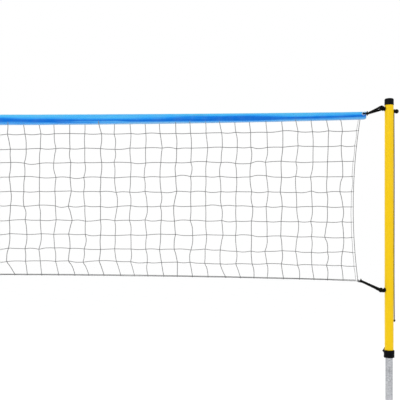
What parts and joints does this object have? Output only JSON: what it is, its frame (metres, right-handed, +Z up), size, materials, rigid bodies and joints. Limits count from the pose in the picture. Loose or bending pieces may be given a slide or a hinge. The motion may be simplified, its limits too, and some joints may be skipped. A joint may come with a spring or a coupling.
{
  "type": "volleyball net on poles",
  "caption": "Sports net with a folded cloth top band, hung by doubled elastic cords from ball studs on telescopic poles that stand in weighted round bases.",
  "frame": {"origin": "on the floor, midway between the two poles", "axes": "+X along the net towards the right pole, +Y towards the back where the clamp knobs are, +Z up"},
  "size_m": [5.944, 0.52, 2.345],
  "materials": {
    "yellow_paint": "satin",
    "zinc": "satin",
    "black_plastic": "satin",
    "nylon": "matte",
    "black_rubber": "matte",
    "black_cord": "matte",
    "white_twine": "matte",
    "blue_cloth": "matte"
  },
  "bodies": {
    "lower_poles": {"socket_right": "zinc", "lower_pole_right": "zinc", "flange_bolt_right_1": "zinc", "flange_bolt_right_2": "zinc", "flange_bolt_right_3": "zinc", "base_right": "black_rubber", "inner_guide_right": "nylon", "socket_left": "zinc", "lower_pole_left": "zinc", "flange_bolt_left_1": "zinc", "flange_bolt_left_2": "zinc", "flange_bolt_left_3": "zinc", "base_left": "black_rubber", "inner_guide_left": "nylon"},
    "net_frame": {"netting": "white_twine", "top_band": "blue_cloth", "head_cord": "white_twine", "bottom_cord": "white_twine", "side_cord_right": "white_twine", "eyelet_right": "zinc", "corner_ring_right": "zinc", "stud_bolt_right": "zinc", "lower_rivet_right": "zinc", "upper_pole_right": "yellow_paint", "guide_bush_right": "nylon", "pole_cap_right": "black_plastic", "clamp_collar_right": "black_plastic", "upper_stud_right": "black_plastic", "outer_stud_right": "black_plastic", "lower_stud_right": "black_plastic", "upper_elastic_right": "black_cord", "lower_elastic_right": "black_cord", "stay_loop_right": "black_cord", "stay_cord_right": "black_cord", "stay_knot_right": "black_cord", "side_cord_left": "white_twine", "eyelet_left": "zinc", "corner_ring_left": "zinc", "stud_bolt_left": "zinc", "lower_rivet_left": "zinc", "upper_pole_left": "yellow_paint", "guide_bush_left": "nylon", "pole_cap_left": "black_plastic", "clamp_collar_left": "black_plastic", "upper_stud_left": "black_plastic", "outer_stud_left": "black_plastic", "lower_stud_left": "black_plastic", "upper_elastic_left": "black_cord", "lower_elastic_left": "black_cord", "stay_loop_left": "black_cord", "stay_cord_left": "black_cord", "stay_knot_left": "black_cord"},
    "clamp_knob_right": {"clamp_knob_right": "black_plastic"},
    "clamp_knob_left": {"clamp_knob_left": "black_plastic"},
    "socket_knob_right": {"socket_knob_right": "black_plastic"},
    "socket_knob_left": {"socket_knob_left": "black_plastic"}
  },
  "joints": [
    {"name": "height_slide", "type": "slide", "parent": "lower_poles", "child": "net_frame", "axis": [0, 0, 1], "range_m": [-0.44, 0.19]},
    {"name": "clamp_spin_right", "type": "hinge", "parent": "net_frame", "child": "clamp_knob_right", "pos_m": [2.712, 0.05, 0.665], "axis": [0, 1, 0], "continuous": true},
    {"name": "clamp_spin_left", "type": "hinge", "parent": "net_frame", "child": "clamp_knob_left", "pos_m": [-2.712, 0.05, 0.665], "axis": [0, 1, 0], "continuous": true},
    {"name": "socket_spin_right", "type": "hinge", "parent": "lower_poles", "child": "socket_knob_right", "pos_m": [2.712, 0.05, 0.145], "axis": [0, 1, 0], "continuous": true},
    {"name": "socket_spin_left", "type": "hinge", "parent": "lower_poles", "child": "socket_knob_left", "pos_m": [-2.712, 0.05, 0.145], "axis": [0, 1, 0], "continuous": true}
  ]
}
